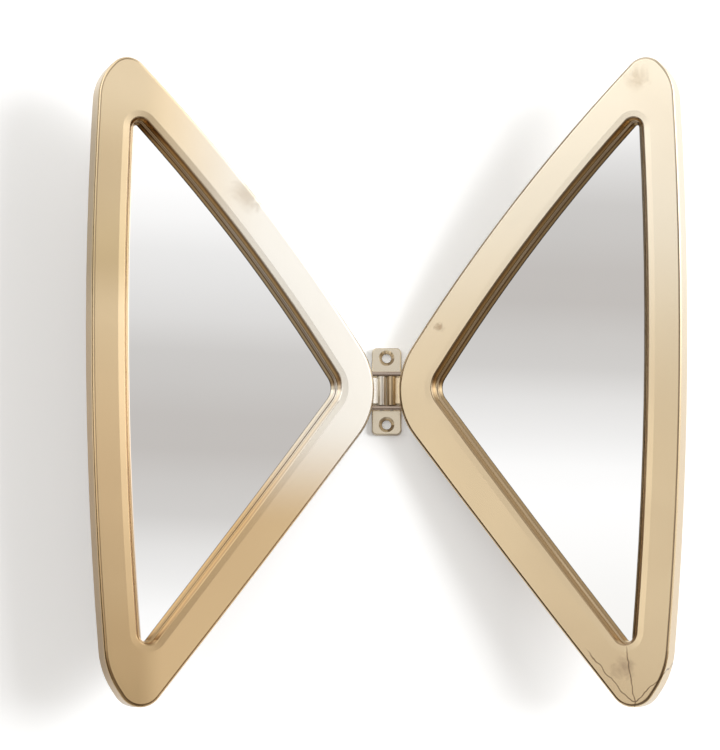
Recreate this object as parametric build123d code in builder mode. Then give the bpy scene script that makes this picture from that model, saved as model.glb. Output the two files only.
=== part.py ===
from build123d import *
import math
import os

# Butterfly mirror: two cast wings with recessed glass, swinging on one small wall bracket.
# Millimetres. The wall is the plane y = 0 and the viewer is at -y. X is to the right, Z is up.
# The origin is the middle of the bracket's back. The right wing is drawn, the left is its mirror.
os.makedirs("parts", exist_ok=True)

# Hinge
pin_radius = 1.5
pin_spacing = 7.5
pin_running_clearance = 0.05
barrel_radius = 3.55
barrel_end_clearance = 0.25
rest_angle = 20
pin_end_chamfer = 0.3

# Wall bracket
bracket_width = 22.6
bracket_height = 66
bracket_corner_radius = 4
bracket_draft = 4
tab_thickness = 5
ear_length = 3.4
ear_gap = 22
ear_nose_wall = 1.9
ear_nose_radius = 1.2
ear_root_radius = 1.2
web_thickness = 2.4
bracket_edge_radius = 0.8
screw_hole_radius = 3.4
countersink_radius = 5.8
countersink_angle = 90
screw_spacing = 50
pin_socket_depth = 3.5

# Wing outline in the wing's own plane: across from the hinge, and up
top_shoulder = (221.2, 219.6)
top_shoulder_run = 20.6
top_shoulder_rise = 23.4
hinge_tip = (-3.2, -3.4)
bottom_shoulder = (211.6, -209.3)
bottom_shoulder_run = 24.4
bottom_shoulder_drop = 36.1
outer_bow = 8.1
upper_bow = 9.8
lower_bow = 1.2
top_shoulder_radius = 36
top_tip_radius = 15
hinge_tip_radius = 56
bottom_tip_radius = 17
bottom_shoulder_radius = 59

# Wing casting, levels measured forward from the pin axis
face_level = 12
back_set_back = 2.45
face_thickness = 3.5
outer_wall = 3.2
outer_edge_radius = 2.4
opening_edge_radius = 1

# Stepped opening: its distance in from each side, its corners, and its shape in depth
# Its diagonals meet nearer the outline's middle than the wing's own, so the lower band widens to the hinge
opening_hinge_tip = (-1.4, -0.6)
upper_band = 27
lower_band = 26.2
outer_band = 24.4
opening_radii = (8, 19, 9)
lip_radii = (1.5, 13, 1.8)
rolled_lip_width = 5
rolled_lip_drop = 0.3
upper_wall_run = 2.2
upper_wall_depth = 5
step_width = 1.5
step_drop = 0.4
step_edge_radius = 0.5
step_cove_radius = 0.6
lower_wall_run = 1.8
lower_wall_depth = 4.1

# Glass and what holds it
lip_overlap = 5.5
glass_clearance = 1
tape_thickness = 0.5
tape_width = 3.5
tape_set_back = 1
glass_thickness = 3
board_thickness = 2.5
rebate_wall = 3
clip_thickness = 1
clip_width = 9
clip_reach = 5
clip_corner_radius = 2
clip_screw_radius = 1.5
clip_screw_head_radius = 2.8
clip_screw_head_height = 1
clip_screw_length = 8
clip_boss_radius = 4
boss_overlap = 1
clip_screw_slot = 0.7
clip_hole_clearance = 0.2
clip_outer_shares = (0.14, 0.5, 0.86)
clip_diagonal_shares = (0.24, 0.62)
rib_thickness = 3
rib_set_back = 4
rib_outer_shares = (0.32, 0.68)
rib_diagonal_shares = (0.43, 0.8)

# Wall pads
pad_radius = 5
pad_thickness = 2
pad_proud = 0.6
wall_gap = 0.2
pad_boss_radius = 6
pad_outer_shares = (0.03, 0.97)

# Hinge neck
neck_thickness = 4.4
neck_height = 19
neck_root_length = 20
neck_root_height = 28
neck_fillet = 1.2

# Worked out from the values above
top_tip = (top_shoulder[0] - top_shoulder_run, top_shoulder[1] + top_shoulder_rise)
bottom_tip = (bottom_shoulder[0] - bottom_shoulder_run, bottom_shoulder[1] - bottom_shoulder_drop)
back_level = -barrel_radius - back_set_back
pin_stand_off = pad_proud - back_level + wall_gap
ear_height = pin_stand_off + pin_radius + ear_nose_wall
step_level = face_level - rolled_lip_drop - upper_wall_depth
lip_level = step_level - step_drop - lower_wall_depth
step_inset = upper_wall_run
bead_inset = step_inset + step_width
lip_inset = bead_inset + lower_wall_run
glass_inset = lip_inset - lip_overlap
rebate_inset = glass_inset - glass_clearance
glass_front = lip_level - tape_thickness
glass_back = glass_front - glass_thickness
board_back = glass_back - board_thickness
channel_inset = rebate_inset - rebate_wall
boss_set_back = clip_boss_radius - boss_overlap
channel_floor = face_level - face_thickness
barrel_height = ear_gap - 2 * barrel_end_clearance
pin_x = pin_spacing / 2
pad_seat = back_level - pad_proud + pad_thickness

lean = math.radians(rest_angle)
wing_plane = Plane(
    origin=(pin_x, -pin_stand_off, 0),
    x_dir=(math.cos(lean), -math.sin(lean), 0),
    z_dir=(-math.sin(lean), -math.cos(lean), 0),
)
forward = Axis(wing_plane.origin, wing_plane.z_dir)
across = Axis(wing_plane.origin, wing_plane.x_dir)


def at_level(level):
    """The wing's plane moved forward to a level."""
    return wing_plane.offset(level)


def edges_at(part, level):
    """The edges of the wing part being built that lie at one level."""
    return part.edges().filter_by_position(forward, level - 0.01, level + 0.01)


def bow_disc(start, end, bow, inset):
    """Centre and radius of the disc whose rim bows out between two points, made smaller by inset."""
    chord = Vector(end[0] - start[0], end[1] - start[1])
    radius = (chord.length**2 / 4 + bow**2) / (2 * bow)
    outward = Vector(chord.Y, -chord.X).normalized()
    middle = Vector((start[0] + end[0]) / 2, (start[1] + end[1]) / 2)
    return middle - outward * (radius - bow), radius - inset


def wing_sides(outer_inset, upper_inset, lower_inset):
    """The opening's three bowed sides, counter-clockwise: start, end, bow and distance inward."""
    return [
        (bottom_shoulder, top_shoulder, outer_bow, outer_inset),
        (top_tip, opening_hinge_tip, upper_bow, upper_inset),
        (opening_hinge_tip, bottom_tip, lower_bow, lower_inset),
    ]


def inner_outline(inset):
    """The opening's outline moved in by inset, or out into the band where inset is negative."""
    with BuildSketch(mode=Mode.PRIVATE) as triangle:
        sides = wing_sides(outer_band + inset, upper_band + inset, lower_band + inset)
        for number, side in enumerate(sides):
            centre, radius = bow_disc(*side)
            with Locations((centre.X, centre.Y)):
                Circle(radius, mode=Mode.ADD if number == 0 else Mode.INTERSECT)
        corners = triangle.vertices()
        top, bottom = corners.sort_by(Axis.Y)[-1], corners.sort_by(Axis.Y)[0]
        hinge = corners.sort_by(Axis.X)[0]
        for corner, wide, tight in zip((top, hinge, bottom), opening_radii, lip_radii):
            radius = wide - inset if inset < 0 else wide + (tight - wide) * inset / lip_inset
            fillet(triangle.vertices().sort_by_distance(corner)[0], radius)
    return triangle.sketch


def wing_outline():
    """The wing's outer outline: three bowed sides, two short shoulders and five rounded corners."""
    with BuildSketch(mode=Mode.PRIVATE) as outline:
        with BuildLine():
            SagittaArc(bottom_shoulder, top_shoulder, -outer_bow)
            Line(top_shoulder, top_tip)
            SagittaArc(top_tip, hinge_tip, -upper_bow)
            SagittaArc(hinge_tip, bottom_tip, -lower_bow)
            Line(bottom_tip, bottom_shoulder)
        make_face()
        rounded = [
            (top_shoulder, top_shoulder_radius),
            (top_tip, top_tip_radius),
            (hinge_tip, hinge_tip_radius),
            (bottom_tip, bottom_tip_radius),
            (bottom_shoulder, bottom_shoulder_radius),
        ]
        for corner, radius in rounded:
            fillet(outline.vertices().sort_by_distance(corner)[0], radius)
    return outline.sketch


def around_wing(insets, outer_shares, diagonal_shares=()):
    """Places at shares of each side and inset from it, with local X facing outward."""
    shares_by_side = (outer_shares, diagonal_shares, [1 - share for share in diagonal_shares])
    places = []
    for (start, end, bow, inset), shares in zip(wing_sides(*insets), shares_by_side):
        centre, radius = bow_disc(start, end, bow, inset)
        for share in shares:
            on_chord = Vector(*start) + (Vector(*end) - Vector(*start)) * share
            outward = (on_chord - centre).normalized()
            point = centre + outward * radius
            angle = math.degrees(math.atan2(outward.Y, outward.X))
            places.append(Location((point.X, point.Y), angle))
    return places


outline = wing_outline()
hinge_end = outline.bounding_box().min.X
neck_end = hinge_end + outer_wall
bands = (outer_band, upper_band, lower_band)
clip_insets = [band + channel_inset - boss_set_back for band in bands]
middle_insets = [(outer_wall + band + channel_inset) / 2 for band in bands]
clip_places = around_wing(clip_insets, clip_outer_shares, clip_diagonal_shares)
rib_places = around_wing(middle_insets, rib_outer_shares, rib_diagonal_shares)
pad_places = around_wing(middle_insets, pad_outer_shares)

# Wall bracket: one casting, with two countersunk tabs, two ears and a thin web behind the barrels
ear_end = ear_gap / 2 + ear_length
half_height = bracket_height / 2
with BuildPart() as wall_bracket:
    with BuildSketch(Plane.XZ):
        RectangleRounded(bracket_width, bracket_height, bracket_corner_radius)
    extrude(amount=ear_height, taper=bracket_draft)
    with BuildSketch(Plane.YZ):
        with BuildLine():
            Polyline(
                (-web_thickness, 0),
                (-web_thickness, ear_gap / 2),
                (-ear_height, ear_gap / 2),
                (-ear_height, ear_end),
                (-tab_thickness, ear_end),
                (-tab_thickness, half_height),
                (0, half_height),
                (0, 0),
                (-web_thickness, 0),
            )
        profile = make_face()
        by_height = profile.vertices().group_by(Axis.X)
        fillet(by_height[0], ear_nose_radius)
        fillet(profile.vertices().sort_by_distance((-tab_thickness, ear_end))[0], ear_root_radius)
        mirror(about=Plane.XZ)
    extrude(amount=bracket_width, both=True, mode=Mode.INTERSECT)
    tab_fronts = wall_bracket.faces().filter_by_position(Axis.Y, -tab_thickness, -tab_thickness)
    ear_roots = tab_fronts.edges().filter_by(Axis.X).sort_by(lambda edge: abs(edge.center().Z))[:2]
    fillet(tab_fronts.edges() - ear_roots, bracket_edge_radius)
    with Locations(
        Location((0, -tab_thickness, screw_spacing / 2), (90, 0, 0)),
        Location((0, -tab_thickness, -screw_spacing / 2), (90, 0, 0)),
    ):
        CounterSinkHole(screw_hole_radius, countersink_radius, counter_sink_angle=countersink_angle)
    with BuildSketch(Plane.XY.offset(-ear_gap / 2 - pin_socket_depth)):
        with Locations((-pin_x, -pin_stand_off), (pin_x, -pin_stand_off)):
            Circle(pin_radius)
    extrude(amount=bracket_height, mode=Mode.SUBTRACT)
wall_bracket.part.label = "wall_bracket"
export_step(wall_bracket.part, "parts/wall_bracket.step")

# Hinge pin: dropped in from above, it stands in a blind socket in the lower ear
with BuildPart() as hinge_pin:
    with BuildSketch(Plane.XY.offset(-ear_gap / 2 - pin_socket_depth)):
        with Locations((pin_x, -pin_stand_off)):
            Circle(pin_radius)
    extrude(amount=ear_gap + 2 * pin_socket_depth)
    chamfer(hinge_pin.edges(), pin_end_chamfer)

# Wing frame: a hollow-backed casting with a stepped opening, bosses, ribs and the hinge barrel
with BuildPart() as wing_frame:
    with BuildSketch(at_level(back_level)):
        add(outline)
    extrude(amount=face_level - back_level)
    fillet(wing_frame.faces().sort_by(forward)[-1].edges(), outer_edge_radius)

    # Rolled lip, upper wall, step and lower wall, down to a straight edge at the glass
    opening_steps = [
        (-rolled_lip_width, face_level),
        (0, face_level - rolled_lip_drop),
        (step_inset, step_level),
        (bead_inset, step_level - step_drop),
        (lip_inset, lip_level),
        (lip_inset, lip_level - tape_thickness),
    ]
    for inset, level in opening_steps:
        with BuildSketch(at_level(level)):
            add(inner_outline(inset))
    loft(ruled=True, mode=Mode.SUBTRACT)
    fillet(edges_at(wing_frame, face_level - rolled_lip_drop), opening_edge_radius)
    fillet(edges_at(wing_frame, step_level), step_cove_radius)
    fillet(edges_at(wing_frame, step_level - step_drop), step_edge_radius)

    # Rebate for the glass and board, and a lower wall round it so that the clips lie flat
    with BuildSketch(at_level(lip_level)):
        add(inner_outline(rebate_inset))
    extrude(amount=back_level - lip_level, mode=Mode.SUBTRACT)
    with BuildSketch(at_level(board_back)):
        add(inner_outline(channel_inset))
    extrude(amount=back_level - board_back, mode=Mode.SUBTRACT)

    # Hollow channel behind the face, with its ribs, bosses and the solid root of the neck
    with BuildSketch(at_level(channel_floor)) as channel:
        add(outline)
        offset(amount=-outer_wall, mode=Mode.REPLACE)
        add(inner_outline(channel_inset), mode=Mode.SUBTRACT)
    extrude(amount=back_level - channel_floor, mode=Mode.SUBTRACT)
    with BuildSketch(at_level(channel_floor)):
        with Locations(*rib_places):
            Rectangle(upper_band, rib_thickness)
        with Locations((neck_end, 0)):
            Rectangle(2 * neck_root_length, neck_root_height)
        add(channel.sketch_local, mode=Mode.INTERSECT)
    extrude(amount=back_level + rib_set_back - channel_floor)
    with BuildSketch(at_level(channel_floor)):
        with Locations(*clip_places):
            Circle(clip_boss_radius)
    extrude(amount=board_back - channel_floor)
    with BuildSketch(at_level(channel_floor)):
        with Locations(*pad_places):
            Circle(pad_boss_radius)
    extrude(amount=pad_seat - channel_floor)
    with BuildSketch(at_level(board_back)):
        with Locations(*clip_places):
            Circle(clip_screw_radius)
    extrude(amount=clip_screw_length - clip_thickness, mode=Mode.SUBTRACT)

    # Neck and barrel
    with BuildSketch(at_level(-barrel_radius)):
        with Locations((0, 0)):
            Rectangle(neck_end, neck_height, align=(Align.MIN, Align.CENTER))
    extrude(amount=neck_thickness)
    neck_root = wing_frame.edges(Select.LAST).filter_by_position(across, hinge_end - 0.1, neck_end)
    fillet(neck_root, neck_fillet)
    with BuildSketch(Plane.XY.offset(-barrel_height / 2)):
        with Locations((pin_x, -pin_stand_off)):
            Circle(barrel_radius)
    extrude(amount=barrel_height)
    with BuildSketch(Plane.XY.offset(-barrel_height / 2)):
        with Locations((pin_x, -pin_stand_off)):
            Circle(pin_radius + pin_running_clearance)
    extrude(amount=barrel_height, mode=Mode.SUBTRACT)

# Glass, its tape and the board behind it
with BuildPart() as mirror_glass:
    with BuildSketch(at_level(glass_back)):
        add(inner_outline(glass_inset))
    extrude(amount=glass_thickness)

with BuildPart() as glazing_tape:
    with BuildSketch(at_level(glass_front)):
        add(inner_outline(lip_inset - tape_set_back - tape_width))
        add(inner_outline(lip_inset - tape_set_back), mode=Mode.SUBTRACT)
    extrude(amount=tape_thickness)

with BuildPart() as backing_board:
    with BuildSketch(at_level(board_back)):
        add(inner_outline(glass_inset))
    extrude(amount=board_thickness)

# Clips, their screws and the wall pads
clip_tip = boss_set_back + rebate_wall + clip_reach
with BuildPart() as retaining_clips:
    with BuildSketch(at_level(board_back)):
        with Locations(*clip_places):
            with Locations(((clip_boss_radius - clip_tip) / 2, 0)):
                RectangleRounded(clip_tip + clip_boss_radius, clip_width, clip_corner_radius)
            Circle(clip_screw_radius + clip_hole_clearance, mode=Mode.SUBTRACT)
    extrude(amount=-clip_thickness)

with BuildPart() as clip_screws:
    with BuildSketch(at_level(board_back - clip_thickness)):
        with Locations(*clip_places):
            Circle(clip_screw_head_radius)
    extrude(amount=-clip_screw_head_height)
    with BuildSketch(at_level(board_back - clip_thickness)):
        with Locations(*clip_places):
            Circle(clip_screw_radius)
    extrude(amount=clip_screw_length)
    with BuildSketch(at_level(board_back - clip_thickness - clip_screw_head_height)):
        with Locations(*clip_places):
            Rectangle(3 * clip_screw_head_radius, clip_screw_slot)
    extrude(amount=clip_screw_head_height / 2, mode=Mode.SUBTRACT)

with BuildPart() as wall_pads:
    with BuildSketch(at_level(pad_seat)):
        with Locations(*pad_places):
            Circle(pad_radius)
    extrude(amount=-pad_thickness)

# Right-hand pieces as drawn, left-hand pieces mirrored
right_hand_pieces = {
    "hinge_pin": hinge_pin,
    "wing_frame": wing_frame,
    "mirror_glass": mirror_glass,
    "glazing_tape": glazing_tape,
    "backing_board": backing_board,
    "retaining_clips": retaining_clips,
    "clip_screws": clip_screws,
    "wall_pads": wall_pads,
}
for name, piece in right_hand_pieces.items():
    with BuildPart() as left_piece:
        mirror(piece.part, about=Plane.YZ)
    for side, solid in (("right", piece.part), ("left", left_piece.part)):
        solid.label = f"{side}_{name}"
        export_step(solid, f"parts/{side}_{name}.step")
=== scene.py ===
"""Looks of the butterfly mirror: cast brass wings, silvered glass and a plain white studio."""

import logging
import math
from dataclasses import dataclass
from enum import Enum

import bpy
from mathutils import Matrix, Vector

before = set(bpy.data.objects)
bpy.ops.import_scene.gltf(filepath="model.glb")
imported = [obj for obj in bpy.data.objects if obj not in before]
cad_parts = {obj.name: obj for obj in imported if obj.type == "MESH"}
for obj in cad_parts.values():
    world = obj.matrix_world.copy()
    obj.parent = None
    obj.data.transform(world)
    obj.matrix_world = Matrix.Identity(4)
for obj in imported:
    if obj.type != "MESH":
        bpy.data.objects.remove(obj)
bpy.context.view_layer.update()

log = logging.getLogger("butterfly_mirror")

Colour = tuple[float, float, float]
Point = tuple[float, float, float]

WHITE: Colour = (1.0, 1.0, 1.0)


class Side(Enum):
    """The two wings, with the sign of their X."""

    LEFT = -1
    RIGHT = 1

    @property
    def label(self) -> str:
        """The word that a piece's name starts with."""
        return self.name.lower()


class Shading:
    """One node tree, with short calls to add and join its nodes."""

    def __init__(self, tree: bpy.types.NodeTree) -> None:
        """Keeps the tree that the nodes go into.

        Args:
            tree: the node tree of a material, a world or a group.
        """
        self.tree = tree

    def add(self, kind: str, settings: dict | None = None, **inputs: object) -> bpy.types.Node:
        """Adds a node.

        Args:
            kind: the node's type name.
            settings: properties of the node itself.
            inputs: a value or an output socket for each input, its spaces written as underscores.

        Returns:
            The new node.
        """
        node = self.tree.nodes.new(kind)
        for key, value in (settings or {}).items():
            setattr(node, key, value)
        for key, value in inputs.items():
            self.feed(node.inputs[self.socket_name(node, key)], value)
        return node

    def math(self, operation: str, *values: object) -> bpy.types.NodeSocket:
        """Adds a Math node and returns its result.

        Args:
            operation: the node's operation.
            values: a number or a socket for each of its inputs.

        Returns:
            The output socket.
        """
        node = self.tree.nodes.new("ShaderNodeMath")
        node.operation = operation
        for socket, value in zip(node.inputs, values):
            self.feed(socket, value)
        return node.outputs[0]

    def mix(self, share: object, first: object, second: object, blend: str = "MIX") -> bpy.types.NodeSocket:
        """Mixes two colours.

        Args:
            share: how much of the second colour, as a number or a socket.
            first: the first colour.
            second: the second colour.
            blend: the way of mixing.

        Returns:
            The mixed colour's socket.
        """
        node = self.tree.nodes.new("ShaderNodeMix")
        node.data_type = "RGBA"
        node.blend_type = blend
        self.feed(node.inputs["Factor"], share)
        self.feed(node.inputs[6], first)
        self.feed(node.inputs[7], second)
        return node.outputs[2]

    def remap(
        self, value: object, low: float, high: float, to_low: float, to_high: float
    ) -> bpy.types.NodeSocket:
        """Maps a value from one range to another, clamped and smooth.

        Args:
            value: the socket to map.
            low: start of the old range.
            high: end of the old range.
            to_low: result at low.
            to_high: result at high.

        Returns:
            The mapped value's socket.
        """
        node = self.tree.nodes.new("ShaderNodeMapRange")
        node.interpolation_type = "SMOOTHSTEP"
        for name, number in (("From Min", low), ("From Max", high), ("To Min", to_low), ("To Max", to_high)):
            node.inputs[name].default_value = number
        self.feed(node.inputs["Value"], value)
        return node.outputs["Result"]

    def noise(
        self, vector: object, scale: float, detail: float = 2.0, distortion: float = 0.0
    ) -> bpy.types.NodeSocket:
        """Adds a noise texture and returns its value.

        Args:
            vector: where it is read.
            scale: lumps per metre.
            detail: finer layers.
            distortion: how much it swirls.

        Returns:
            The noise value's socket.
        """
        lumps = {"Vector": vector, "Scale": scale, "Detail": detail, "Distortion": distortion}
        return self.add("ShaderNodeTexNoise", None, **lumps).outputs[0]

    def ramp(self, share: object, stops: list[tuple[float, Colour]]) -> bpy.types.NodeSocket:
        """Adds a smooth colour ramp and returns its colour.

        Args:
            share: how far along the ramp, from 0 to 1.
            stops: place and colour of each stop, in order.

        Returns:
            The colour's socket.
        """
        node = self.add("ShaderNodeValToRGB", None, Fac=share)
        ramp = node.color_ramp
        ramp.interpolation = "EASE"
        while len(ramp.elements) > 1:
            ramp.elements.remove(ramp.elements[-1])
        for number, (place, colour) in enumerate(stops):
            stop = ramp.elements[0] if number == 0 else ramp.elements.new(place)
            stop.position = place
            stop.color = (*colour, 1.0)
        return node.outputs["Color"]

    def feed(self, socket: bpy.types.NodeSocket, value: object) -> None:
        """Joins a socket to another or gives it a plain value.

        Args:
            socket: the input.
            value: an output socket, a number or a colour.
        """
        if isinstance(value, bpy.types.NodeSocket):
            self.tree.links.new(value, socket)
        elif isinstance(value, (int, float)):
            socket.default_value = value
        elif len(value) == 3 and len(socket.default_value) == 4:
            socket.default_value = (*value, 1.0)
        else:
            socket.default_value = value

    @staticmethod
    def socket_name(node: bpy.types.Node, key: str) -> str:
        """The input's real name for a name written with underscores."""
        return next((s.name for s in node.inputs if s.name.replace(" ", "_") == key), key)


def new_group(name: str, numbers: dict[str, float], outputs: dict[str, str]) -> Shading:
    """Makes a shader node group with number inputs.

    Args:
        name: the group's name.
        numbers: each input's name and default.
        outputs: each output's name and socket type.

    Returns:
        The group's tree, ready for its nodes.
    """
    tree = bpy.data.node_groups.new(name, "ShaderNodeTree")
    for label, default in numbers.items():
        socket = tree.interface.new_socket(label, in_out="INPUT", socket_type="NodeSocketFloat")
        socket.default_value = default
    for label, kind in outputs.items():
        tree.interface.new_socket(label, in_out="OUTPUT", socket_type=kind)
    return Shading(tree)


class Effects:
    """Shader groups that several finishes share."""

    @staticmethod
    def hand_polish() -> bpy.types.NodeTree:
        """Soft waves, wipe marks and fine scratches left by hand polishing.

        Returns:
            The group, with a wave height, a smear mask and a scratch mask.
        """
        found = bpy.data.node_groups.get("hand_polish")
        if found:
            return found
        numbers = {"Wave Size": 60.0, "Smear Size": 9.0, "Scratch Size": 300.0}
        outputs = {"Wave": "NodeSocketFloat", "Smear": "NodeSocketFloat", "Scratch": "NodeSocketFloat"}
        s = new_group("hand_polish", numbers, outputs)
        inside = s.add("NodeGroupInput")
        where = s.add("ShaderNodeTexCoord").outputs["Object"]
        wave = s.add("ShaderNodeTexNoise", None, Vector=where, Detail=1.0, Distortion=0.6)
        smear = s.add("ShaderNodeTexNoise", None, Vector=where, Detail=2.0, Distortion=0.4)
        stretched = s.add("ShaderNodeMapping", None, Vector=where, Scale=(1.0, 1.0, 0.08)).outputs[0]
        scratch = s.add("ShaderNodeTexNoise", None, Vector=stretched, Detail=3.0, Distortion=0.3)
        for node, label in ((wave, "Wave Size"), (smear, "Smear Size"), (scratch, "Scratch Size")):
            s.feed(node.inputs["Scale"], inside.outputs[label])
        out = s.add("NodeGroupOutput")
        s.feed(out.inputs["Wave"], wave.outputs[0])
        s.feed(out.inputs["Smear"], s.remap(smear.outputs[0], 0.35, 0.75, 0.0, 1.0))
        s.feed(out.inputs["Scratch"], s.remap(scratch.outputs[0], 0.62, 0.7, 0.0, 1.0))
        return s.tree


def new_material(name: str) -> tuple[bpy.types.Material, Shading, bpy.types.Node]:
    """Makes an empty material with its Principled shader joined up.

    Args:
        name: the material's name.

    Returns:
        The material, its tree and the Principled node.
    """
    material = bpy.data.materials.new(name)
    material.use_nodes = True
    material.node_tree.nodes.clear()
    s = Shading(material.node_tree)
    shader = s.add("ShaderNodeBsdfPrincipled")
    s.add("ShaderNodeOutputMaterial", None, Surface=shader.outputs[0])
    return material, s, shader


# Where the wings were touched: each smudge's middle, its reach and its strength.
SMUDGES: tuple[tuple[Point, float, float], ...] = (
    ((-0.102, -0.055, 0.140), 0.022, 0.48),
    ((0.181, -0.084, 0.222), 0.016, 0.48),
    ((0.039, -0.032, 0.045), 0.006, 0.88),
    ((0.168, -0.080, -0.206), 0.013, 0.95),
)


@dataclass(frozen=True)
class PolishedBrass:
    """Cast brass, hand-polished to a pale gold and browner where it was touched, with painted light and
    shade: painted shade along its edges and in its opening, and painted highlights.
    """

    name: str
    # The brass's colours at the top and at the bottom; the change from one to the other is painted light and
    # shade.
    pale: Colour = (0.93, 0.815, 0.62)
    deep: Colour = (0.745, 0.59, 0.38)
    # Painted shade: multiplies the left wing to a warmer, darker gold than the right.
    left_tint: Colour = (0.97, 0.885, 0.77)
    # Painted highlight: the near-white of the brass where the light is brightest.
    bright: Colour = (0.98, 0.955, 0.89)
    # The brown of the painted shade along the turned edges; the wavy seam line uses the same brown.
    brown: Colour = (0.20, 0.13, 0.075)
    tarnish: Colour = (0.50, 0.38, 0.25)
    roughness: float = 0.19
    smear_roughness: float = 0.235
    barrel_roughness: float = 0.42
    lip_roughness: float = 0.4
    wave_depth: float = 0.000015
    lean: float = 20.0
    pin_x: float = 0.00375
    pin_y: float = -0.0068
    face_level: float = 0.012
    opening_middle: float = 0.14
    # Strength of the painted shade along the turned edges.
    edge_line: float = 0.75
    # Painted shade on the bracket's nose beside the hinge barrels, and its colour.
    nose_tint: float = 0.0
    nose_brown: Colour = (0.42, 0.33, 0.29)
    smudges: tuple[tuple[Point, float, float], ...] = ()
    seam: bool = False
    recessed: bool = True

    def make(self) -> bpy.types.Material:
        """Builds the material.

        Returns:
            The finished material.
        """
        material, s, shader = new_material(self.name)
        polish = s.add("ShaderNodeGroup", {"node_tree": Effects.hand_polish()})
        smear = polish.outputs["Smear"]
        coordinates = s.add("ShaderNodeTexCoord")
        where = coordinates.outputs["Object"]
        place = s.add("ShaderNodeSeparateXYZ", None, Vector=where)
        cloud = s.noise(where, 6.0, 2.0, 0.4)
        right = s.remap(place.outputs["X"], -0.002, 0.002, 0.0, 1.0)
        # Painted highlight: the mask where the brass is painted nearly white.
        painted_highlight = self.most_buffed(s, place, right) if self.recessed else 0.0
        facing, turn, recess_shade_mask = self.directions(s, coordinates.outputs["Normal"], place, right)
        base = self.golds(s, place, cloud, right, painted_highlight)
        base = self.handled(s, base, where, place, smear)
        # Painted shade along the turned edges, joined by the wavy seam line.
        line = self.turned_edge(s, facing, turn, cloud)
        if self.seam:
            line = s.math("MAXIMUM", line, self.wavy_seam(s, where, place))
        base = s.mix(line, base, self.brown)
        if self.recessed:
            # Painted shade and highlights on the opening's walls.
            base = s.mix(recess_shade_mask, base, self.recess_tones(s, place), "MULTIPLY")
        s.feed(shader.inputs["Base Color"], base)
        shader.inputs["Metallic"].default_value = 1.0
        s.feed(shader.inputs["Roughness"], self.dullness(s, place, facing, painted_highlight, smear))
        calm = s.remap(facing, 0.6, 0.95, 0.1, 1.0)
        wave = polish.outputs["Wave"]
        bump = s.add("ShaderNodeBump", None, Height=wave, Distance=self.wave_depth, Strength=calm)
        s.feed(shader.inputs["Normal"], bump.outputs[0])
        return material

    def golds(
        self,
        s: Shading,
        place: bpy.types.Node,
        cloud: bpy.types.NodeSocket,
        right: bpy.types.NodeSocket,
        painted_highlight: bpy.types.NodeSocket | float,
    ) -> bpy.types.NodeSocket:
        """Colours the metal with painted light and shade: deep gold below and pale above, a warmer left wing,
        painted reflection bands up its outer side, and a painted highlight nearly white where the light is
        brightest.

        Args:
            s: the material's tree.
            place: node with the place's X, Y and Z.
            cloud: slow noise that shifts the tone.
            right: a mask that is 1 on the right wing.
            painted_highlight: the mask of most_buffed.

        Returns:
            The colour.
        """
        drift = s.math("MULTIPLY", s.math("SUBTRACT", cloud, 0.5), 0.4)
        # Painted light and shade: paler towards the top, deeper gold towards the bottom.
        tone = s.math("ADD", s.remap(place.outputs["Z"], -0.06, 0.14, 0.0, 1.0), drift)
        base = s.mix(tone, self.deep, self.pale)
        if not self.recessed:
            return base
        # Painted shade: the left wing tinted warmer and darker than the right.
        base = s.mix(1.0, base, s.mix(right, self.left_tint, WHITE), "MULTIPLY")
        # Painted reflection: light and dark bands up the left wing's outer side.
        outer = s.remap(place.outputs["X"], -0.178, -0.158, 1.0, 0.0)
        base = s.mix(outer, base, self.left_outer_tones(s, place), "MULTIPLY")
        # Painted highlight: nearly white where the light is brightest.
        return s.mix(painted_highlight, base, self.bright)

    def handled(
        self,
        s: Shading,
        base: bpy.types.NodeSocket,
        where: bpy.types.NodeSocket,
        place: bpy.types.Node,
        smear: bpy.types.NodeSocket,
    ) -> bpy.types.NodeSocket:
        """Lays wipe marks and smudges over the clean metal, and painted shade on the bracket's nose beside
        the hinge barrels.

        Args:
            s: the material's tree.
            base: the clean metal's colour.
            where: the place that is shaded.
            place: node with the place's X, Y and Z.
            smear: the mask of wipe marks.

        Returns:
            The colour.
        """
        base = s.mix(s.math("MULTIPLY", smear, 0.1), base, self.tarnish)
        for centre, radius, strength in self.smudges:
            spot = s.math("MULTIPLY", self.spot(s, where, centre, radius), strength)
            base = s.mix(spot, base, self.tarnish)
        # Painted shade on the bracket's nose, next to the hinge barrels.
        if self.nose_tint:
            nose = s.remap(place.outputs["Y"], -0.0092, -0.0082, self.nose_tint, 0.0)
            base = s.mix(nose, base, self.nose_brown)
        return base

    def turned_edge(
        self,
        s: Shading,
        facing: bpy.types.NodeSocket,
        turn: bpy.types.NodeSocket,
        cloud: bpy.types.NodeSocket,
    ) -> bpy.types.NodeSocket:
        """Marks the painted shade, a dark line along each turned edge, fainter in places.

        Args:
            s: the material's tree.
            facing: cosine to the wing's direction, where the line starts.
            turn: the same, raised where the line is wider, where it ends.
            cloud: slow noise that fades it.

        Returns:
            The mask.
        """
        starts = s.remap(facing, 0.985, 0.9962, 1.0, 0.0)
        ends = s.remap(turn, 0.93, 0.965, 0.0, 1.0)
        faded = s.remap(cloud, 0.35, 0.6, 0.5 * self.edge_line, self.edge_line)
        return s.math("MULTIPLY", s.math("MULTIPLY", starts, ends), faded)

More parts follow.
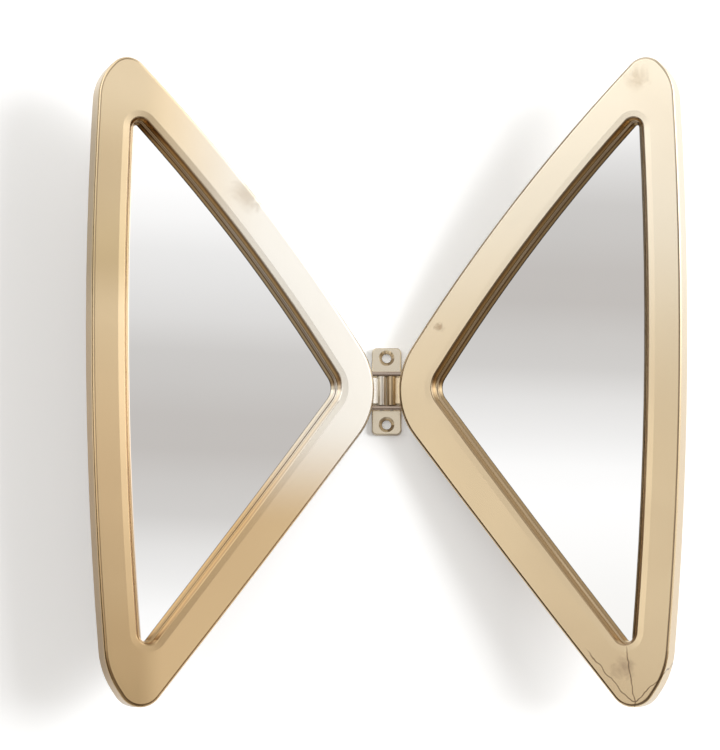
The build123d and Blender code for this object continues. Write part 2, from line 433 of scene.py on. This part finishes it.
    def dullness(
        self,
        s: Shading,
        place: bpy.types.Node,
        facing: bpy.types.NodeSocket,
        painted_highlight: bpy.types.NodeSocket | float,
        smear: bpy.types.NodeSocket,
    ) -> bpy.types.NodeSocket:
        """Gives the roughness: higher in wipe marks, on the barrels and on the rolled lip by the hinge.

        Args:
            s: the material's tree.
            place: node with the place's X, Y and Z.
            facing: cosine to the wing's direction; the lip's lies just under 1.
            painted_highlight: the mask of most_buffed.
            smear: the mask of wipe marks.

        Returns:
            The roughness.
        """
        rough = s.remap(smear, 0.0, 1.0, self.roughness, self.smear_roughness)
        if not self.recessed:
            return rough
        across = s.math("ABSOLUTE", place.outputs["X"])
        barrel = s.remap(across, 0.0075, 0.0095, self.barrel_roughness, 0.0)
        lip = s.math(
            "MULTIPLY",
            s.remap(facing, 0.9972, 0.9978, 0.0, 1.0),
            s.remap(facing, 0.9992, 0.9997, 1.0, 0.0),
        )
        lip = s.math("MULTIPLY", s.math("MULTIPLY", lip, painted_highlight), self.lip_roughness)
        return s.math("MAXIMUM", s.math("MAXIMUM", rough, barrel), lip)

    def directions(
        self, s: Shading, normal: bpy.types.NodeSocket, place: bpy.types.Node, right: bpy.types.NodeSocket
    ) -> tuple[bpy.types.NodeSocket, bpy.types.NodeSocket, bpy.types.NodeSocket]:
        """Tells how far a surface faces the way its wing does, and whether it is a wall of the opening.

        Args:
            s: the material's tree.
            normal: the surface's direction in the piece's own coordinates.
            place: node with the place's X, Y and Z; the sign of X tells the wing.
            right: a mask that is 1 on the right wing.

        Returns:
            The cosine to the wing's direction, the same raised where the painted edge shade is wider, and a
            mask of painted shade that is 1 on the opening's steep walls, weaker on walls that face up.
        """
        lean = math.radians(self.lean)
        parts = s.add("ShaderNodeSeparateXYZ", None, Vector=normal)
        across = s.math("ABSOLUTE", place.outputs["X"])
        sideways = s.math("MULTIPLY", s.math("SIGN", place.outputs["X"]), parts.outputs["X"])
        facing = s.math(
            "SUBTRACT",
            s.math("MULTIPLY", parts.outputs["Y"], -math.cos(lean)),
            s.math("MULTIPLY", sideways, math.sin(lean)),
        )
        inward = s.math(
            "SUBTRACT",
            s.math("MULTIPLY", s.math("SUBTRACT", self.opening_middle, across), sideways),
            s.math("MULTIPLY", place.outputs["Z"], parts.outputs["Z"]),
        )
        # Mask of painted shade on the opening's steep walls, strongest on walls that face down.
        steep = s.math(
            "MULTIPLY",
            s.remap(facing, 0.6, 0.85, 1.0, 0.0),
            s.remap(parts.outputs["Z"], -0.5, 0.35, 1.0, 0.4),
        )
        steep = s.math("MULTIPLY", steep, s.remap(across, 0.013, 0.022, 0.0, 1.0))
        # Widens the painted edge shade on the right wing's upper inner edges.
        up_and_in = s.math(
            "MULTIPLY",
            s.remap(sideways, -0.2, -0.05, 0.55, 0.0),
            s.remap(parts.outputs["Z"], 0.0, 0.12, 0.0, 1.0),
        )
        wider = s.math("MULTIPLY", s.math("ADD", up_and_in, 0.13), right)
        recess_shade_mask = s.math("MULTIPLY", steep, s.remap(inward, 0.0, 0.01, 0.0, 1.0))
        return facing, s.math("ADD", facing, wider), recess_shade_mask

    @staticmethod
    def most_buffed(s: Shading, place: bpy.types.Node, right: bpy.types.NodeSocket) -> bpy.types.NodeSocket:
        """Marks the painted highlight, where the brass is painted nearly white: left by the hinge, right high
        up.

        Args:
            s: the material's tree.
            place: node with the place's X, Y and Z.
            right: a mask that is 1 on the right wing.

        Returns:
            A soft mask.
        """
        by_hinge = s.remap(place.outputs["X"], -0.175, -0.085, 0.0, 0.95)
        by_hinge = s.math("MULTIPLY", by_hinge, s.remap(place.outputs["Z"], -0.105, -0.02, 0.0, 1.0))
        by_hinge = s.math("MULTIPLY", by_hinge, s.math("SUBTRACT", 1.0, right))
        high = s.math("MULTIPLY", s.remap(place.outputs["Z"], 0.03, 0.14, 0.0, 0.22), right)
        return s.math("ADD", by_hinge, high)

    @staticmethod
    def left_outer_tones(s: Shading, place: bpy.types.Node) -> bpy.types.NodeSocket:
        """Painted reflection: lighter and darker stretches up the left wing's outer side.

        Args:
            s: the material's tree.
            place: node with the place's X, Y and Z.

        Returns:
            The colour to multiply the brass by.
        """
        up = s.math("ADD", s.math("MULTIPLY", place.outputs["Z"], 2.0), 0.5)
        return s.ramp(
            up,
            [
                (0.0, (0.68, 0.66, 0.62)),
                (0.12, (0.80, 0.78, 0.75)),
                (0.22, (0.92, 0.92, 0.92)),
                (0.34, (1.06, 1.07, 1.10)),
                (0.46, (1.16, 1.19, 1.25)),
                (0.58, (1.08, 1.10, 1.12)),
                (0.68, (0.80, 0.78, 0.70)),
                (0.82, (0.78, 0.76, 0.72)),
                (0.94, (0.93, 0.95, 0.98)),
            ],
        )

    def recess_tones(self, s: Shading, place: bpy.types.Node) -> bpy.types.NodeSocket:
        """Painted shade and highlights by depth in the stepped opening: brown and gold strips, cream and
        white highlight lines, and dark shade near the glass.

        Args:
            s: the material's tree.
            place: node with the place's X, Y and Z.

        Returns:
            The colour to multiply the brass by.
        """
        lean = math.radians(self.lean)
        across = s.math("SUBTRACT", s.math("ABSOLUTE", place.outputs["X"]), self.pin_x)
        forward = s.math("MULTIPLY", s.math("SUBTRACT", self.pin_y, place.outputs["Y"]), math.cos(lean))
        level = s.math("SUBTRACT", forward, s.math("MULTIPLY", across, math.sin(lean)))
        return s.ramp(
            s.math("DIVIDE", level, self.face_level),
            [
                (0.0, (0.12, 0.09, 0.06)),
                (0.19, (0.14, 0.10, 0.07)),
                (0.24, (0.72, 0.58, 0.38)),
                (0.36, (0.85, 0.72, 0.50)),
                (0.44, (0.34, 0.24, 0.14)),
                (0.51, (0.30, 0.21, 0.12)),
                (0.54, (1.0, 0.98, 0.92)),
                (0.57, (0.95, 0.85, 0.66)),
                (0.60, (0.26, 0.17, 0.09)),
                (0.68, (0.86, 0.66, 0.38)),
                (0.80, (0.66, 0.44, 0.22)),
                (0.90, (0.34, 0.23, 0.13)),
                (0.95, (0.30, 0.21, 0.12)),
                (0.975, (1.0, 1.0, 1.0)),
            ],
        )

    def wavy_seam(
        self, s: Shading, where: bpy.types.NodeSocket, place: bpy.types.Node
    ) -> bpy.types.NodeSocket:
        """A thin wavering line round the right wing's lower corner, and a crease into it.

        Args:
            s: the material's tree.
            where: the place that is shaded.
            place: node with the place's X, Y and Z.

        Returns:
            A mask that is 1 on the line.
        """
        waver = s.math("MULTIPLY", s.math("SUBTRACT", s.noise(where, 110.0, 2.0), 0.5), 0.004)
        x, z = place.outputs["X"], place.outputs["Z"]
        left = self.beyond(s, x, z, (0.1449, -0.1955), (-0.769, -0.638))
        right = self.beyond(s, x, z, (0.1964, -0.2103), (0.707, -0.707))
        corner = s.math("ADD", s.math("SMOOTH_MAX", left, right, 0.012), waver)
        crease = s.math("ADD", self.beyond(s, x, z, (0.1735, -0.212), (0.992, 0.128)), waver)
        off = s.math("MINIMUM", s.math("ABSOLUTE", corner), s.math("ABSOLUTE", crease))
        low = s.math("MULTIPLY", s.remap(z, -0.197, -0.188, 0.9, 0.0), s.remap(x, 0.14, 0.15, 0.0, 1.0))
        return s.math("MULTIPLY", s.remap(off, 0.0001, 0.0006, 1.0, 0.0), low)

    @staticmethod
    def beyond(
        s: Shading,
        x: bpy.types.NodeSocket,
        z: bpy.types.NodeSocket,
        point: tuple[float, float],
        outward: tuple[float, float],
    ) -> bpy.types.NodeSocket:
        """Measures how far a place lies beyond a line seen from the front.

        Args:
            s: the material's tree.
            x: the place's X.
            z: the place's Z.
            point: a point of the line.
            outward: the direction that counts as beyond.

        Returns:
            The signed distance.
        """
        along_x = s.math("MULTIPLY", s.math("SUBTRACT", x, point[0]), outward[0])
        along_z = s.math("MULTIPLY", s.math("SUBTRACT", z, point[1]), outward[1])
        return s.math("ADD", along_x, along_z)

    @staticmethod
    def spot(
        s: Shading, where: bpy.types.NodeSocket, centre: Point, radius: float
    ) -> bpy.types.NodeSocket:
        """Marks a ragged smudge.

        Args:
            s: the material's tree.
            where: the place that is shaded.
            centre: the smudge's middle in metres.
            radius: its reach in metres.

        Returns:
            A mask that fades from 1 in the middle to 0 at the reach.
        """
        far = s.tree.nodes.new("ShaderNodeVectorMath")
        far.operation = "DISTANCE"
        s.feed(far.inputs[0], where)
        far.inputs[1].default_value = centre
        ragged = s.math("MULTIPLY", s.noise(where, 1.2 / radius, 4.0, 1.0), 1.4 * radius)
        return s.remap(s.math("ADD", far.outputs["Value"], ragged), 0.7 * radius, 1.5 * radius, 1.0, 0.0)


@dataclass(frozen=True)
class SilveredGlass:
    """Float glass silvered at its back."""

    name: str = "silvered_glass"
    silver: Colour = (0.93, 0.925, 0.92)
    hazy: Colour = (0.9, 0.905, 0.9)

    def make(self) -> bpy.types.Material:
        """Builds the material.

        Returns:
            The finished material.
        """
        material, s, shader = new_material(self.name)
        where = s.add("ShaderNodeTexCoord").outputs["Object"]
        haze = s.noise(where, 14.0, 4.0, 0.5)
        clouded = s.remap(haze, 0.35, 0.8, 0.0, 0.3)
        s.feed(shader.inputs["Base Color"], s.mix(clouded, self.silver, self.hazy))
        shader.inputs["Metallic"].default_value = 1.0
        s.feed(shader.inputs["Roughness"], s.remap(haze, 0.4, 0.8, 0.012, 0.03))
        return material


@dataclass(frozen=True)
class PlatedSteel:
    """Small steel parts, zinc-plated or drawn bright."""

    name: str
    colour: Colour = (0.62, 0.61, 0.58)
    roughness: float = 0.32

    def make(self) -> bpy.types.Material:
        """Builds the material.

        Returns:
            The finished material.
        """
        material, s, shader = new_material(self.name)
        polish = s.add("ShaderNodeGroup", {"node_tree": Effects.hand_polish()})
        polish.inputs["Scratch Size"].default_value = 1500.0
        where = s.add("ShaderNodeTexCoord").outputs["Object"]
        cloud = s.noise(where, 260.0, 3.0)
        s.feed(shader.inputs["Base Color"], s.mix(cloud, self.colour, tuple(0.72 * c for c in self.colour)))
        shader.inputs["Metallic"].default_value = 1.0
        s.feed(shader.inputs["Roughness"], s.remap(cloud, 0.3, 0.7, self.roughness, self.roughness + 0.18))
        bump = s.add("ShaderNodeBump", None, Height=polish.outputs["Scratch"], Distance=0.00002)
        s.feed(shader.inputs["Normal"], bump.outputs[0])
        return material


@dataclass(frozen=True)
class Hardboard:
    """Brown pressed-fibre board."""

    name: str = "hardboard"
    light: Colour = (0.33, 0.205, 0.115)
    dark: Colour = (0.19, 0.11, 0.06)

    def make(self) -> bpy.types.Material:
        """Builds the material.

        Returns:
            The finished material.
        """
        material, s, shader = new_material(self.name)
        where = s.add("ShaderNodeTexCoord").outputs["Object"]
        fibre = s.noise(where, 900.0, 6.0, 1.5)
        cloud = s.noise(where, 25.0, 4.0)
        tone = s.math("ADD", s.math("MULTIPLY", fibre, 0.6), s.math("MULTIPLY", cloud, 0.4))
        s.feed(shader.inputs["Base Color"], s.mix(s.remap(tone, 0.35, 0.65, 0.0, 1.0), self.dark, self.light))
        s.feed(shader.inputs["Roughness"], s.remap(fibre, 0.3, 0.7, 0.55, 0.8))
        bump = s.add("ShaderNodeBump", None, Height=fibre, Distance=0.00012)
        s.feed(shader.inputs["Normal"], bump.outputs[0])
        return material


@dataclass(frozen=True)
class Felt:
    """Dense wool felt or matt foam, told apart by its colour and its lumps."""

    name: str
    colour: Colour = (0.045, 0.04, 0.036)
    lumps: float = 1400.0

    def make(self) -> bpy.types.Material:
        """Builds the material.

        Returns:
            The finished material.
        """
        material, s, shader = new_material(self.name)
        where = s.add("ShaderNodeTexCoord").outputs["Object"]
        fuzz = s.noise(where, self.lumps, 6.0, 2.0)
        s.feed(shader.inputs["Base Color"], s.mix(fuzz, self.colour, tuple(2.2 * c for c in self.colour)))
        s.feed(shader.inputs["Roughness"], s.remap(fuzz, 0.3, 0.7, 0.85, 0.97))
        shader.inputs["Sheen Weight"].default_value = 0.25
        bump = s.add("ShaderNodeBump", None, Height=fuzz, Distance=0.0003)
        s.feed(shader.inputs["Normal"], bump.outputs[0])
        return material


def dress(node: str, material: bpy.types.Material) -> None:
    """Gives a CAD node a finished material.

    Args:
        node: the CAD node's name.
        material: what it is made of.
    """
    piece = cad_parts[node]
    piece.data.materials.clear()
    piece.data.materials.append(material)
    log.info("%s dressed in %s", node, material.name)


@dataclass
class Wing:
    """One wing: its casting, its glass and everything that holds the glass."""

    side: Side
    brass: bpy.types.Material
    glass: bpy.types.Material
    tape: bpy.types.Material
    board: bpy.types.Material
    steel: bpy.types.Material
    felt: bpy.types.Material

    def build(self) -> None:
        """Dresses the pieces of the wing."""
        for name, material in (
            ("wing_frame", self.brass),
            ("mirror_glass", self.glass),
            ("glazing_tape", self.tape),
            ("backing_board", self.board),
            ("retaining_clips", self.steel),
            ("clip_screws", self.steel),
            ("wall_pads", self.felt),
            ("hinge_pin", self.steel),
        ):
            dress(f"{self.side.label}_{name}", material)


@dataclass
class Studio:
    """White wall, soft light and the camera. Lengths are in metres, pixels those of the photograph."""

    distance: float = 2.0
    look_up: float = 6.0
    lens: float = 128.0
    frame_long_side: float = 750.0
    origin_pixel: tuple[float, float] = (386.6, 392.0)
    frame_middle: tuple[float, float] = (360.0, 375.0)
    sensor: float = 36.0
    wall_gap: float = 0.0004
    wall_size: float = 5.0
    paint: Colour = (0.925, 0.945, 0.965)
    glow: Colour = (0.98, 1.0, 1.02)
    glow_strength: float = 0.25
    key_place: Point = (2.05, -1.95, 0.2)
    key_size: float = 1.2
    key_power: float = 56.0

    def build(self) -> None:
        """Makes the wall, the world, the lamp and the camera."""
        self.hang_wall()
        self.light_world()
        self.place_lamp()
        self.place_camera()

    def hang_wall(self) -> None:
        """A plain white wall that is clear from behind, so that the back of the mirror can be seen."""
        bpy.ops.object.select_all(action="DESELECT")
        bpy.ops.mesh.primitive_plane_add(
            size=self.wall_size, location=(0, self.wall_gap, 0), rotation=(math.radians(90), 0, 0)
        )
        wall = bpy.context.object
        wall.name = "studio_wall"
        bpy.ops.object.transform_apply(location=True, rotation=True, scale=True)
        wall.data.materials.append(self.wall_white())

    def wall_white(self) -> bpy.types.Material:
        """Matt paint that glows a little to the camera alone, so that the wall comes out white.

        Returns:
            The wall's material, clear from behind.
        """
        material = bpy.data.materials.new("wall_white")
        material.use_nodes = True
        material.node_tree.nodes.clear()
        s = Shading(material.node_tree)
        paint = s.add("ShaderNodeBsdfDiffuse", None, Color=self.paint)
        glow = s.add("ShaderNodeEmission", None, Color=self.glow, Strength=self.glow_strength)
        lit = s.add("ShaderNodeAddShader")
        s.tree.links.new(paint.outputs[0], lit.inputs[0])
        s.tree.links.new(glow.outputs[0], lit.inputs[1])
        seen = s.add("ShaderNodeLightPath").outputs["Is Camera Ray"]
        front = s.add("ShaderNodeMixShader", None, Fac=seen)
        s.tree.links.new(paint.outputs[0], front.inputs[1])
        s.tree.links.new(lit.outputs[0], front.inputs[2])
        clear = s.add("ShaderNodeBsdfTransparent")
        behind = s.add("ShaderNodeNewGeometry").outputs["Backfacing"]
        either = s.add("ShaderNodeMixShader", None, Fac=behind)
        s.tree.links.new(front.outputs[0], either.inputs[1])
        s.tree.links.new(clear.outputs[0], either.inputs[2])
        s.add("ShaderNodeOutputMaterial", None, Surface=either.outputs[0])
        return material

    def light_world(self) -> None:
        """A soft room: white to the camera, and bands of light and shade for what reflects it."""
        world = bpy.data.worlds.new("studio_room")
        bpy.context.scene.world = world
        world.use_nodes = True
        world.node_tree.nodes.clear()
        s = Shading(world.node_tree)
        direction = s.add("ShaderNodeTexCoord").outputs["Generated"]
        parts = s.add("ShaderNodeSeparateXYZ", None, Vector=direction)
        across = parts.outputs["X"]
        height = s.math("MULTIPLY", s.math("ARCSINE", parts.outputs["Z"]), 180 / math.pi)
        room = s.mix(1.0, self.bands(s, across, height), self.side_walls(s, across), "MULTIPLY")
        room = s.mix(1.0, room, self.daylight(s, across, height), "ADD")
        seen = s.add("ShaderNodeLightPath").outputs["Is Camera Ray"]
        back = s.add("ShaderNodeBackground", None, Color=s.mix(seen, room, WHITE), Strength=1.0)
        s.add("ShaderNodeOutputWorld", None, Surface=back.outputs[0])

    @staticmethod
    def bands(
        s: Shading, across: bpy.types.NodeSocket, height: bpy.types.NodeSocket
    ) -> bpy.types.NodeSocket:
        """Light and shade by height, a little tilted, as the glass shows them in the photograph.

        Args:
            s: the world's tree.
            across: the direction's X, from -1 on the left to 1 on the right.
            height: the direction's height in degrees.

        Returns:
            The colour.
        """
        tilted = s.math("ADD", height, s.math("MULTIPLY", across, 2.7))
        return s.ramp(
            s.math("DIVIDE", s.math("ADD", tilted, 90.0), 180.0),
            [
                (0.0, (0.40, 0.38, 0.36)),
                (0.28, (0.36, 0.33, 0.30)),
                (0.40, (0.22, 0.17, 0.125)),
                (0.47, (0.50, 0.43, 0.36)),
                (0.495, (1.0, 0.99, 0.97)),
                (0.5134, (1.1, 1.1, 1.1)),
                (0.52, (0.93, 0.925, 0.92)),
                (0.5283, (0.68, 0.665, 0.65)),
                (0.5367, (0.575, 0.55, 0.53)),
                (0.545, (0.64, 0.625, 0.61)),
                (0.5545, (0.84, 0.835, 0.83)),
                (0.5675, (1.1, 1.1, 1.1)),
                (0.60, (1.15, 1.14, 1.12)),
                (0.72, (0.95, 0.92, 0.86)),
                (1.0, (0.85, 0.82, 0.78)),
            ],
        )

    @staticmethod
    def side_walls(s: Shading, across: bpy.types.NodeSocket) -> bpy.types.NodeSocket:
        """Dark and bright strips beside the mirror, which its castings' sides and edges reflect.

        Args:
            s: the world's tree.
            across: the direction's X, from -1 on the left to 1 on the right.

        Returns:
            The colour to multiply the bands by.
        """
        return s.ramp(
            s.math("DIVIDE", s.math("ADD", across, 1.0), 2.0),
            [
                (0.0, (0.6, 0.58, 0.55)),
                (0.02, (0.12, 0.10, 0.07)),
                (0.125, (0.12, 0.10, 0.07)),
                (0.145, (1.6, 1.6, 1.6)),
                (0.174, (1.6, 1.6, 1.6)),
                (0.179, WHITE),
                (0.46, WHITE),
                (0.56, (0.78, 0.76, 0.73)),
                (0.69, (0.52, 0.49, 0.45)),
                (0.735, (0.55, 0.52, 0.48)),
                (0.771, WHITE),
            ],
        )

    @staticmethod
    def daylight(
        s: Shading, across: bpy.types.NodeSocket, height: bpy.types.NodeSocket
    ) -> bpy.types.NodeSocket:
        """A window far on the right and a faint skylight high on the left.

        Args:
            s: the world's tree.
            across: the direction's X, from -1 on the left to 1 on the right.
            height: the direction's height in degrees.

        Returns:
            The light to add.
        """
        window = s.math(
            "MULTIPLY",
            s.remap(across, 0.643, 0.68, 0.0, 1.1),
            s.remap(height, 0.5, 6.0, 0.0, 1.0),
        )
        skylight = s.math(
            "MULTIPLY",
            s.remap(across, -0.3, -0.2, 1.0, 0.0),
            s.remap(height, 10.5, 13.0, 0.0, 0.3),
        )
        light = s.math("ADD", window, skylight)
        return s.add("ShaderNodeCombineColor", None, Red=light, Green=light, Blue=light).outputs[0]

    def place_lamp(self) -> None:
        """One large soft lamp on the right, aimed at the mirror, which throws the shadow to the left."""
        data = bpy.data.lights.new("key_softbox", "AREA")
        data.size = self.key_size
        data.energy = self.key_power
        lamp = bpy.data.objects.new("key_softbox", data)
        lamp.location = self.key_place
        lamp.rotation_euler = (-Vector(self.key_place)).to_track_quat("-Z", "Y").to_euler()
        lamp.visible_camera = False
        lamp.visible_glossy = False
        bpy.context.scene.collection.objects.link(lamp)

    def place_camera(self) -> None:
        """A long lens straight in front and a little below, as in the photograph."""
        tilt = math.radians(self.look_up)
        data = bpy.data.cameras.new("camera")
        data.lens = self.lens
        data.sensor_width = self.sensor
        data.shift_x = (self.frame_middle[0] - self.origin_pixel[0]) / self.frame_long_side
        data.shift_y = (self.origin_pixel[1] - self.frame_middle[1]) / self.frame_long_side
        camera = bpy.data.objects.new("camera", data)
        camera.location = (0, -self.distance * math.cos(tilt), -self.distance * math.sin(tilt))
        camera.rotation_euler = (math.radians(90) + tilt, 0, 0)
        bpy.context.scene.collection.objects.link(camera)
        bpy.context.scene.camera = camera


def main() -> None:
    """Builds the mirror's looks in order and reports each piece."""
    logging.basicConfig(level=logging.INFO, format="%(name)s: %(message)s")
    bpy.context.scene.view_settings.view_transform = "Standard"
    brass = PolishedBrass("wing_brass", smudges=SMUDGES, seam=True).make()
    bracket_brass = PolishedBrass(
        "bracket_brass",
        pale=(0.96, 0.89, 0.76),
        deep=(0.84, 0.75, 0.59),
        lean=0.0,
        nose_tint=0.8,
        recessed=False,
    ).make()
    glass = SilveredGlass().make()
    tape = Felt("foam_tape", colour=(0.02, 0.02, 0.02), lumps=2500.0).make()
    board = Hardboard().make()
    steel = PlatedSteel("plated_steel").make()
    felt = Felt("wool_felt").make()
    for side in Side:
        Wing(side, brass, glass, tape, board, steel, felt).build()
    dress("wall_bracket", bracket_brass)
    Studio().build()


if __name__ == "__main__":
    main()
